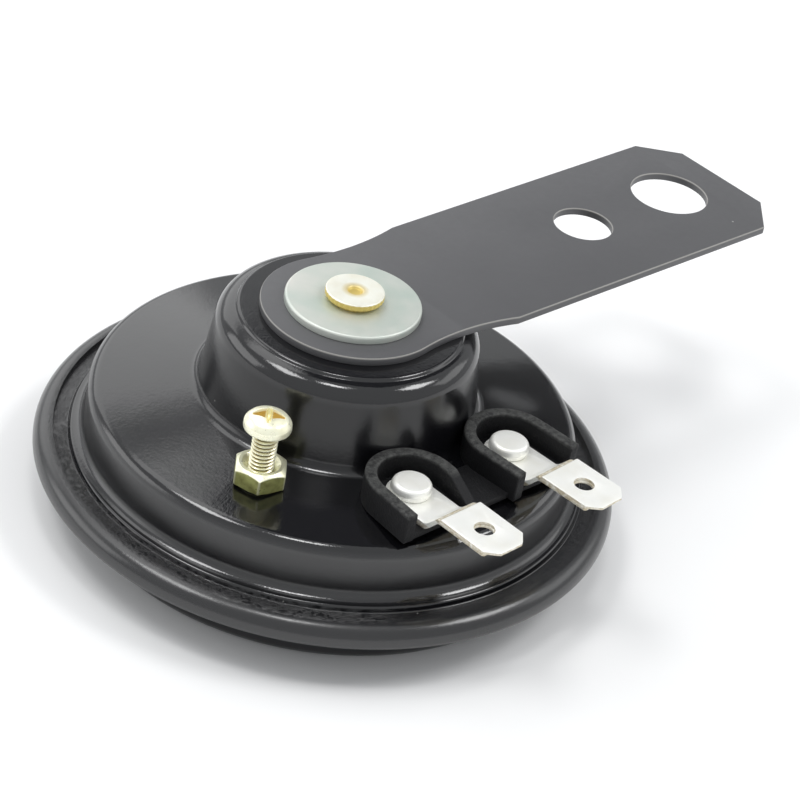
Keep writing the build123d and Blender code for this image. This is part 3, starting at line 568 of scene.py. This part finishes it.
def plate(outline, holes, wall, cuts=()):
    """A flat plate. Its rim is the outline carried through the wall's (inset, height) steps, a grid of steps
    by outline, and its two faces are filled in the first and last rings. Holes use the same wall, mirrored.
    Each cut is a place and a normal, where the faces get a line of edges to bend along."""
    grids, ends, start = [], ([], []), 0
    for loop, side in [(outline, 1.0)] + [(hole, -1.0) for hole in holes]:
        rings = [np.column_stack([inset(loop, side * step) if step else loop, np.full(len(loop), height)])
                 for step, height in wall]
        vertices, faces = lattice(np.array(rings), False, True)
        grids.append((vertices, faces + start))
        ring = start + np.arange(len(loop))
        for end, first in zip(ends, (ring, ring + len(vertices) - len(loop))):
            end += zip(first.tolist(), np.roll(first, -1).tolist())
        start += len(vertices)
    mesh = bpy.data.meshes.new("plate")
    mesh.from_pydata((np.vstack([grid[0] for grid in grids]) * MM).tolist(), [],
                     np.vstack([grid[1] for grid in grids]).tolist())
    work = bmesh.new()
    work.from_mesh(mesh)
    work.verts.ensure_lookup_table()
    for end in ends:
        edges = [work.edges.get((work.verts[one], work.verts[other])) for one, other in end]
        bmesh.ops.triangle_fill(work, use_beauty=True, use_dissolve=False, edges=edges)
    for place, normal in cuts:
        geometry = work.verts[:] + work.edges[:] + work.faces[:]
        bmesh.ops.bisect_plane(work, geom=geometry, plane_co=Vector(place) * MM, plane_no=normal)
    bmesh.ops.recalc_face_normals(work, faces=work.faces)
    work.to_mesh(mesh)
    work.free()
    return mesh


def soft_wall(low, high, radius, bottom=None, steps=3):
    """Wall of a plate with quarter-round top and bottom edges."""
    bottom = radius if bottom is None else bottom
    angle = np.linspace(0, np.pi / 2, steps + 1)
    foot = [(bottom * (1 - np.sin(a)), low + bottom * (1 - np.cos(a))) for a in angle]
    head = [(radius * (1 - np.cos(a)), high - radius * (1 - np.sin(a))) for a in angle]
    return foot + head


def remade(mesh, change):
    """Moves a mesh's vertices by a function of their millimetre coordinates."""
    points = np.empty(len(mesh.vertices) * 3)
    mesh.vertices.foreach_get("co", points)
    points = change(points.reshape(-1, 3) / MM) * MM
    mesh.vertices.foreach_set("co", points.ravel())
    mesh.update()
    return softened(mesh)


# ---------------------------------------------------------------- housing
SHELL_LINE = (
    (TAIL_R, SEAT_Z), (SEAT_R, SEAT_Z), (SEAT_R + 0.3, SEAT_Z - 0.36), (POT_TOP_R, POT_TOP_Z),
    (POT_BASE_R, POT_BASE_Z), (SHOULDER_R, SHOULDER_Z), (WALL_FOOT_R, STEP_Z), (STEP_R, STEP_Z),
    (STEP_R + 0.25, FLANGE_TOP_Z), (FLANGE_R, FLANGE_TOP_Z),
)
SHELL_RADII = (0.45, 0.3, 2.3, 1.4, 1.6, 1.3, 0.3, 0.2)
COVER_LINE = (
    (0, 0), (RECESS_R[0], 0), (RECESS_R[0] + 1, FACE_RECESS), (RECESS_R[1] - 1, FACE_RECESS),
    (RECESS_R[1], 0), (FACE_R, 0), (FACE_R + 0.6, POCKET_LOW_Z),
    (RIM_R, POCKET_LOW_Z), (RIM_R, RIM_TOP_Z), (LIP_R, RIM_TOP_Z),
)
COVER_RADII = (0.5, 0.5, 0.5, 0.5, 2.0, 0.8, 0.85, 1.9)


def back_shell(material):
    """Deep drawn shell, spun from its section, with the openings for the pins and the nut."""
    section = sheet_section(SHELL_LINE, SHELL_RADII, -SHELL_T, FINE)
    shell = piece("shell", finish_mesh("shell", [spin(section, segments=288)]), material, "housing",
                  ["back_shell"])
    below, above = 10, 20
    cutters = [plug_of(x, y, BUSH_R + 0.05, below, above) for x, y, _ in COLLARS]
    cutters.append(plug_of(*SCREW_AT, 2.4, below, above))
    carve(shell, cutters)


def front_cover(material):
    """Pressed cover spun from its section, with a ring of sound slots cut through its recess."""
    section = sheet_section(COVER_LINE, COVER_RADII, COVER_T, FINE)
    cover = piece("cover", finish_mesh("cover", [spin(section, segments=288, closed=False)]), material,
                  "housing", ["front_cover"])
    half = SLOT_W / 2
    ends = np.linspace(-np.pi / 2, np.pi / 2, 13)
    outer = np.stack([SLOT_R[1] + half * np.cos(ends), half * np.sin(ends)], 1)
    inner = np.stack([SLOT_R[0] - half * np.cos(ends), -half * np.sin(ends)], 1)
    outline = np.vstack([outer, inner])
    slots = []
    for turn in np.arange(SOUND_SLOTS) * TAU / SOUND_SLOTS:
        spun = np.array([[np.cos(turn), np.sin(turn)], [-np.sin(turn), np.cos(turn)]])
        slots.append(plate(outline @ spun, [], [(0, -1), (0, 3)]))
    carve(cover, slots)


# ---------------------------------------------------------------- bracket, washer and core
def bracket(material):
    """Strap outlined by its round end, shallow waist, square shoulders and cut corners."""
    leave = np.radians(BRACKET_LEAVE)
    start = BRACKET_END_R * np.array([np.cos(leave), np.sin(leave)])
    angle = np.linspace(leave, TAU - leave, 161)
    round_end = BRACKET_END_R * np.stack([np.cos(angle), np.sin(angle)], 1)
    heading = np.array([np.sin(leave), -np.cos(leave)])
    far_y, (near_y, end_y) = BRACKET_FAR_Y, BRACKET_NEAR_Y
    far = tangent_arc(start, heading, np.array([BRACKET_CORNER_X, far_y]), 24)
    near = tangent_arc(start * (1, -1), heading * (1, -1), np.array([BRACKET_CORNER_X, near_y]), 24)
    end, cut = BRACKET_END_X, BRACKET_CUT
    corners = np.array([(end - cut, end_y), (end, end_y + cut), (end, far_y - cut), (end - cut, far_y)])
    outline = np.vstack([round_end, near[1:], corners, far[::-1][:-1]])
    low, high = SEAT_Z, BRACKET_TOP_Z
    mesh = softened(plate(outline, [], soft_wall(low, high, 0.14, 0.05)))
    mesh.name = "strap"
    strap = piece("strap", mesh, material, "housing", ["mounting_bracket"])
    cutters = []
    for x, radius in BRACKET_HOLES:
        line = [(0, low - 0.3), (radius + 0.06, low - 0.3), (radius + 0.06, low), (radius, low + 0.06),
                (radius, high - 0.1), (radius + 0.1, high), (radius + 0.1, high + 0.7), (0, high + 0.7)]
        cutters.append(finish_mesh("cutter", [spin(line, (x, 0), 128, closed=False)]))
    carve(strap, cutters)


def tangent_arc(start, heading, end, count):
    """Points of the arc that leaves a start along a heading and reaches an end."""
    chord = end - start
    normal = np.array([-heading[1], heading[0]])
    radius = chord @ chord / (2 * (chord @ normal))
    centre = start + normal * radius
    first = np.arctan2(*(start - centre)[::-1])
    last = np.arctan2(*(end - centre)[::-1])
    last = first + (last - first + np.pi) % TAU - np.pi
    angle = np.linspace(first, last, count)
    return centre + abs(radius) * np.stack([np.cos(angle), np.sin(angle)], 1)


def washer(material):
    """Plated washer over the bracket, with soft edges."""
    low, high, hole = BRACKET_TOP_Z, WASHER_TOP_Z, TAIL_R + 0.1
    ring = rounded([(hole, low), (WASHER_R, low), (WASHER_R, high), (hole, high)], (0.12, 0.3))
    section = np.vstack([(TAIL_R, low), ring, (TAIL_R, high)])
    piece("washer", finish_mesh("washer", [spin(section)]), material, "housing",
          ["bracket_washer"])


def core_tail(material):
    """Core post with its spun-over tail: a flat crown with a dimple, and a notched side."""
    top, seat = HEAD_TOP_Z, WASHER_TOP_Z
    line = [(0, CORE_LOW_Z), (CORE_R - 0.4, CORE_LOW_Z), (CORE_R, CORE_LOW_Z + 0.4), (CORE_R, POT_ROOF_Z),
            (TAIL_R, POT_ROOF_Z), (TAIL_R, seat), (HEAD_NECK_R, seat), (HEAD_R, seat + 0.55),
            (HEAD_R, top - 0.2), (HEAD_R - 0.08, top), (0.95, top - 0.05), (0.7, top - 0.35), (0, top - 0.4)]
    section = rounded(line, (0.05, 0.05, 0, 0, 0, 0.05, 0.1, 0.1, 0.12, 0.3, 0.15))

    def notch(radius, height, angle):
        """Side notches: the radius swings with thirty-four times the angle, only between seat and crown."""
        side = (radius > HEAD_NECK_R - 0.05) & (height > seat - 0.1) & (height < top - 0.15)
        return radius - side * 0.07 * (0.5 + 0.5 * np.sin(34 * angle)), height

    mesh = finish_mesh("core_tail", [spin(section, wobble=notch, closed=False)])
    piece("core_tail", mesh, material, "housing", ["core_post"])


# ---------------------------------------------------------------- adjusting screw and nut
def nut(material):
    """Hexagon: the radius of the side is half the width over the cosine of the angle from the face's middle.
    The chamfer is a cone that lowers the side's top by the excess of that radius over the crown circle."""
    flat, low, high, crown, bore, spigot = NUT_AF / 2, NUT_SEAT_Z, NUT_TOP_Z, 2.55, NUT_BORE_R, 2.35
    angle = np.arange(240) * TAU / 240
    local = (angle - np.radians(NUT_CORNER)) % np.radians(60) - np.radians(30)
    side = flat / np.cos(local)
    edge = high - (side - crown) * 0.62
    foot = low + (side - flat) * 0.3
    rings = [(bore, low - 0.9), (spigot, low - 0.9), (spigot, low), (side - 0.15, low),
             (side - 0.02, foot + 0.05), (side, foot + 0.15), (side, edge - 0.1), (side - 0.05, edge),
             (crown, high), (bore + 0.72, high), (bore + 0.62, high - 0.06), (bore, high - 0.62)]
    points = about_screw([np.broadcast_to(ring[0], angle.shape) for ring in rings], angle,
                         [np.broadcast_to(ring[1], angle.shape) for ring in rings])
    piece("nut", finish_mesh("nut", [lattice(points, True, True)], 25.0), material, "housing",
          ["adjusting_nut"])


def about_screw(radius, angle, height):
    """Points on the screw's axis plus the radius times cosine and sine of the angle, at a height."""
    radius, height = np.asarray(radius), np.asarray(height)
    return np.stack([SCREW_AT[0] + radius * np.cos(angle), SCREW_AT[1] + radius * np.sin(angle), height], -1)


def screw(material):
    """Thread: the radius falls from the crest by a triangle wave of height over pitch less angle over a full
    turn, so the crest climbs one pitch a turn. Head: spun, with a cross recess of two tapered cuts."""
    crest, depth, neck, low, seat, top = 1.47, 0.33, 1.2, SCREW_TIP_Z, SCREW_HEAD_Z, SCREW_TOP_Z
    run_out = seat - 0.2
    angle = np.arange(96) * TAU / 96
    height = np.linspace(low, run_out, int((run_out - low) / SCREW_PITCH * 16))
    wave = (height[:, None] / SCREW_PITCH - angle[None, :] / TAU) % 1.0
    dip = np.clip(1.3 * (1 - np.abs(2 * wave - 1)) - 0.15, 0, 1)
    run_in = np.clip((height - low) / 0.5, 0, 1) ** 0.5
    thread = (crest - depth * dip) * (0.72 + 0.28 * run_in)[:, None]
    head = rounded([(neck, seat - 0.1), (neck, seat), (2.35, seat), (2.74, seat + 0.3), (2.72, seat + 1.1),
                    (2.2, top - 0.5), (neck, top - 0.08), (0, top)], (0.05, 0.1, 0.25, 0.6, 0.8, 1.2))
    columns = np.ones((1, 96))
    radius = np.vstack([0 * columns, 0.9 * columns, thread, head[:, :1] * columns])
    tall = np.vstack([low * columns, low * columns, height[:, None] * columns, head[:, 1:] * columns])
    mesh = finish_mesh("screw", [lattice(about_screw(radius, angle, tall), False, True)], 40.0)
    thing = piece("screw", mesh, material, "screw", ["adjusting_screw"])
    carve(thing, [cross_arm(46.0, 1.6, 0.46), cross_arm(136.0, 2.0, 1.05)])


def cross_arm(degrees, reach, spread):
    """Bar that cuts one arm of the cross recess: a hexagon, widest at its middle, that shrinks with depth."""
    rings = []
    for share, height in ((1.08, 0.5), (1.0, -0.2), (0.7, -0.9), (0.16, -1.3)):
        half, width, end = reach * share, spread * share, 0.2 * share
        corners = [(half, end), (0, width), (-half, end), (-half, -end), (0, -width), (half, -end)]
        flat = np.column_stack([corners, np.full(6, SCREW_TOP_Z + height)])
        rings.append(placed(flat, *SCREW_AT, degrees))
    first, last = (np.repeat(ring.mean(0)[None], 6, axis=0) for ring in (rings[0], rings[-1]))
    return finish_mesh("cutter", [lattice(np.array([first, *rings, last]), False, True)])


# ---------------------------------------------------------------- terminals
def collar(radius, wall, leg, low, high, ramp):
    """Open collar about its pin, opening along +X. Its path runs down one leg, round a half circle and back
    up the other; its section is a rounded rectangle, and both ends shrink over the last step to a soft end.
    With a ramp, the height of one leg falls in proportion to the distance from the pin."""
    middle, half, count = radius - wall / 2, wall / 2, 24
    legs = np.linspace(leg, 0.35, count)
    turn = np.linspace(-np.pi / 2, -3 * np.pi / 2, 61)
    arc = np.stack([np.cos(turn), np.sin(turn)], 1)
    path = np.vstack([np.stack([legs, np.full(count, -middle)], 1), middle * arc,
                      np.stack([legs[::-1], np.full(count, middle)], 1)])
    out = np.vstack([np.tile((0, -1), (count, 1)), arc, np.tile((0, 1), (count, 1))])
    section = rounded([(0, low), (half, low), (half, high), (-half, high), (-half, low), (0, low)],
                      (0.05, 0.28, 0.22, 0.05), 15.0)[:-1]
    path = np.vstack([path[:1] + (0.16, 0), path[:1] + (0.12, 0), path,
                      path[-1:] + (0.12, 0), path[-1:] + (0.16, 0)])
    ends = np.concatenate([[0.0, 0.86], np.ones(len(out)), [0.86, 0.0]])
    out = np.vstack([out[:1], out[:1], out, out[-1:], out[-1:]])
    across = section[None, :, 0] * ends[:, None]
    x = path[:, :1] + out[:, :1] * across
    y = path[:, 1:] + out[:, 1:] * across
    centre = (low + high) / 2
    z = centre + (section[None, :, 1] - centre) * np.where(ends < 1, ends * 0.97, 1.0)[:, None]
    if ramp:
        foot = low + 0.4
        fall = np.clip((x - 1.2) / (leg - 0.6), 0, 1) * (y > 0)
        z = np.where(z > foot, z - (z - foot) * fall * 0.86, z)
    return lattice(np.stack([x, y, z], -1), False, True)


def placed(points, x, y, degrees):
    """Turns points about the upright axis and moves them to x, y."""
    turn = np.radians(degrees)
    moved = points.copy()
    moved[:, 0] = x + points[:, 0] * np.cos(turn) - points[:, 1] * np.sin(turn)
    moved[:, 1] = y + points[:, 0] * np.sin(turn) + points[:, 1] * np.cos(turn)
    return moved


def terminal_block(material):
    """One moulding: a base with a straight front edge, and round each pin a collar above and a bush below."""
    corners = [(12.6, -19.0), (-11.0, -19.0), (-12.2, -22.0), (-12.0, -25.7), (13.3, -25.7), (13.1, -22.0)]
    base = loop_of(corners, (1.5, 1.5, 0.8, 0.6, 0.6, 0.8))
    bush_top = BLOCK_LOW_Z + 0.1
    bush = [(PIN_R, BUSH_LOW_Z), (BUSH_R, BUSH_LOW_Z), (BUSH_R, bush_top), (PIN_R, bush_top)]
    parts = [plate(base, [], soft_wall(BLOCK_LOW_Z, BLOCK_FLOOR_Z, 0.2, 0.1))]
    for number, (x, y, degrees) in enumerate(COLLARS):
        points, faces = collar(COLLAR_R, COLLAR_WALL, COLLAR_LEG, BLOCK_LOW_Z, BLOCK_TOP_Z, number == 0)
        parts.append(finish_mesh("collar", [(placed(points, x, y, degrees), faces)]))
        parts.append(finish_mesh("bush", [spin(bush, (x, y), 48)]))
    piece("terminal_housing", softened(join(parts, "terminal_block")), material, "housing",
          ["terminal_block"])


def join(parts, name):
    """One mesh from several."""
    work = bmesh.new()
    for part in parts:
        work.from_mesh(part)
        bpy.data.meshes.remove(part)
    mesh = bpy.data.meshes.new(name)
    work.to_mesh(mesh)
    work.free()
    return mesh


def blade(number, x, y, degrees, material):
    """Spade blade of sheet folded double: the upper layer has the full outline, the lower one stops short of
    the tip. Both are lifted by a smooth step between foot and blade."""
    half, foot, root, tip, fold = BLADE_W / 2, BLADE_FOOT_W / 2, BLADE_ROOT, BLADE_TIP, BLADE_FOLD_END
    turn = np.linspace(np.pi / 2, 3 * np.pi / 2, 41)
    tail = np.stack([foot * np.cos(turn), foot * np.sin(turn)], 1)
    angles = np.arange(48) * TAU / 48
    ring = np.stack([np.cos(angles), np.sin(angles)], 1)
    cuts = [((cut, 0, 0), (1, 0, 0)) for cut in np.linspace(4.6, 8.0, 18)]
    upper = np.array([(root - 1.0, foot), (root - 0.45, half), (tip - 1.35, half), (tip - 0.25, half - 1.15),
                      (tip, half - 1.5)])
    lower = np.array([(root - 1.0, foot - 0.03), (root - 0.45, half - 0.04), (fold - 0.15, half - 0.04),
                      (fold + 0.1, half - 0.3)])
    top_wall = [(0.05, 0.41), (0.0, 0.46), (0.0, 0.7), (0.03, 0.77), (0.09, BLADE_T)]
    low_wall = [(0.12, 0), (0.03, 0.04), (0.0, 0.12), (0.0, 0.33), (0.06, 0.4)]
    layers = []
    for side, wall, bore in ((upper, top_wall, 1.2), (lower, low_wall, 1.12)):
        outline = np.vstack([tail, side * (1, -1), side[::-1]])
        layers.append(plate(outline, [ring * PIN_R, ring * bore + (BLADE_HOLE, 0)], wall, cuts))

    def lift(points):
        """Height rises by a smooth step of the distance from the pin, less a bell-shaped crease at the neck.
        The step of a share is its square times three less twice itself."""
        share = np.clip((points[:, 0] - 4.9) / 2.7, 0, 1)
        crease = 0.3 * np.exp(-(((points[:, 0] - 7.2) / 0.2) ** 2)) * (points[:, 2] > 0.6)
        points[:, 2] += BLOCK_FLOOR_Z + BLADE_RISE * share * share * (3 - 2 * share) - crease
        return placed(points, x, y, degrees)

    mesh = remade(join(layers, f"blade_{number}"), lift)
    piece(f"blade_{number}", mesh, material, "housing", [f"terminal_blade_{number}"])


def rivet(number, x, y, material):
    """Pin with a flat, soft-edged head over the blade's foot, and its upset tail inside."""
    seat, tail = FOOT_TOP_Z, BUSH_LOW_Z
    section = rounded([(0, tail - 0.7), (2.1, tail - 0.7), (2.3, tail), (PIN_R, tail), (PIN_R, seat),
                       (2.25, seat), (2.42, seat + 0.7), (2.2, seat + 1.45), (0, seat + 1.66)],
                      (0.3, 0.05, 0, 0, 0.15, 0.5, 0.6))
    mesh = finish_mesh(f"rivet_{number}", [spin(section, (x, y), 96, closed=False)])
    piece(f"rivet_{number}", mesh, material, "housing", [f"terminal_rivet_{number}"])


# ---------------------------------------------------------------- studio
PANELS = {      # azimuth and elevation in degrees, size in metres, luminance, distance in metres
    "right_box": (-38, 55, (0.40, 0.28), 8.5, 1.2),
    "left_box": (142, 64, (0.42, 0.28), 7.5, 1.2),
    "zenith_box": (-150, 81, (0.24, 0.20), 11.0, 1.2),
    "back_box_low": (74, 26, (1.10, 0.75), 1.0, 1.5),
    "back_box_high": (84, 60, (0.90, 0.60), 1.3, 1.5),
    "left_low_box": (130, 22, (1.10, 0.70), 1.5, 1.5),
    "side_box": (-22, 30, (0.90, 0.50), 1.1, 1.5),
}
FLOOR_HALF = 3.0
CARD_AT, CARD_SIZE, CARD_DISTANCE = (32, 57), (0.56, 0.95), 1.2


def room():
    """Even, slightly cool light from all round, shown with the plain Standard view."""
    world = bpy.data.worlds.new("studio")
    bpy.context.scene.world = world
    bpy.context.scene.view_settings.view_transform = "Standard"
    world.use_nodes = True
    tree = world.node_tree
    tree.nodes.clear()
    light = tree.nodes.new("ShaderNodeBackground")
    light.inputs["Color"].default_value = (0.96, 0.98, 1.0, 1)
    light.inputs["Strength"].default_value = 0.68
    out = tree.nodes.new("ShaderNodeOutputWorld")
    tree.links.new(light.outputs[0], out.inputs[0])


def sheet(name, corners, finish, colour, rough, specular):
    """A plain four-cornered sheet that belongs to the studio."""
    mesh = bpy.data.meshes.new(name)
    mesh.from_pydata(corners, [], [(0, 1, 2, 3)])
    material = bpy.data.materials.new(finish)
    material.use_nodes = True
    shade = material.node_tree.nodes["Principled BSDF"]
    shade.inputs["Base Color"].default_value = (*colour, 1)
    shade.inputs["Roughness"].default_value = rough
    shade.inputs["Specular IOR Level"].default_value = specular
    mesh.materials.append(material)
    thing = bpy.data.objects.new(name, mesh)
    bpy.context.scene.collection.objects.link(thing)


def paper_floor():
    """Pale paper under the horn, wide enough to fill the view."""
    size = FLOOR_HALF
    corners = [(-size, -size, 0), (size, -size, 0), (size, size, 0), (-size, size, 0)]
    sheet("floor", corners, "floor_paper", (0.90, 0.90, 0.90), 0.9, 0.1)


def way_to(azimuth, elevation):
    """Direction from the horn: cosines and sines of the two angles, in degrees."""
    around, above = np.radians((azimuth, elevation))
    return np.array([np.cos(around) * np.cos(above), np.sin(around) * np.cos(above), np.sin(above)])


def panel(name, azimuth, elevation, size, luminance, distance):
    """Rectangular soft box, turned towards the horn. Its power is its luminance times its area times pi."""
    way = Vector(way_to(azimuth, elevation))
    lamp = bpy.data.lights.new(name, "AREA")
    lamp.shape = "RECTANGLE"
    lamp.size, lamp.size_y = size
    lamp.energy = luminance * size[0] * size[1] * np.pi
    thing = bpy.data.objects.new(name, lamp)
    bpy.context.scene.collection.objects.link(thing)
    turn = (-way).to_track_quat("-Z", "Y").to_matrix().to_4x4()
    thing.matrix_world = Matrix.Translation(way * distance) @ turn


def dark_card():
    """Black card that keeps the room's light off one part of the sky. It faces the horn."""
    way = way_to(*CARD_AT)
    around = np.radians(CARD_AT[0])
    across = np.array([-np.sin(around), np.cos(around), 0.0])
    upward = np.cross(way, across) * CARD_SIZE[1] / 2
    across = across * CARD_SIZE[0] / 2
    corners = [way * CARD_DISTANCE + a * across + b * upward for a, b in ((-1, -1), (1, -1), (1, 1), (-1, 1))]
    sheet("dark_card", corners, "dark_cloth", (0.12, 0.12, 0.13), 1.0, 0.0)


# ---------------------------------------------------------------- everything together
make_camera()
room()
paper_floor()
for name, values in PANELS.items():
    panel(name, *values)
dark_card()

enamel = black_enamel()
tinned = tin("tin_plate", 0.0)
blade_tin = tin("blade_tin", 0.8)
plastic = moulding()
back_shell(enamel)
front_cover(enamel)
bracket(strap_paint())
washer(zinc())
core_tail(tail_zinc())
nut(nut_zinc())
screw(screw_zinc())
terminal_block(plastic)
for number, ((x, y, _), degrees) in enumerate(zip(COLLARS, BLADE_DIRECTIONS), 1):
    blade(number, x, y, degrees, blade_tin)
    rivet(number, x, y, tinned)

bright = steel("spring_steel", (0.5, 0.5, 0.52), 0.3)
dark = steel("soft_iron", (0.36, 0.36, 0.37), 0.42)
fibre = insulation("red_fibre", (0.25, 0.09, 0.05))
paper = insulation("gasket_paper", (0.12, 0.10, 0.08))
wound = copper()
NODES_BY_FINISH = (
    (bright, ("diaphragm", "diaphragm_washer", "coil_washer", "armature_rivet", "breaker_carrier",
              "contact_spring", "contact_tip_moving", "contact_tip_fixed")),
    (dark, ("yoke_plate", "armature")),
    (tinned, ("contact_arm", "breaker_rivet_1", "breaker_rivet_2", "terminal_tag_1", "terminal_tag_2")),
    (fibre, ("breaker_plate_upper", "breaker_plate_middle", "breaker_plate_lower", "screw_pad",
             "terminal_insulator")),
    (paper, ("rear_gasket", "front_gasket")),
    (plastic, ("coil_bobbin",)),
    (wound, ("coil_winding", "arm_lead", "coil_lead_start", "coil_lead_end")),
)
for material, names in NODES_BY_FINISH:
    for name in names:
        nodes[name].data.materials.clear()
        nodes[name].data.materials.append(material)
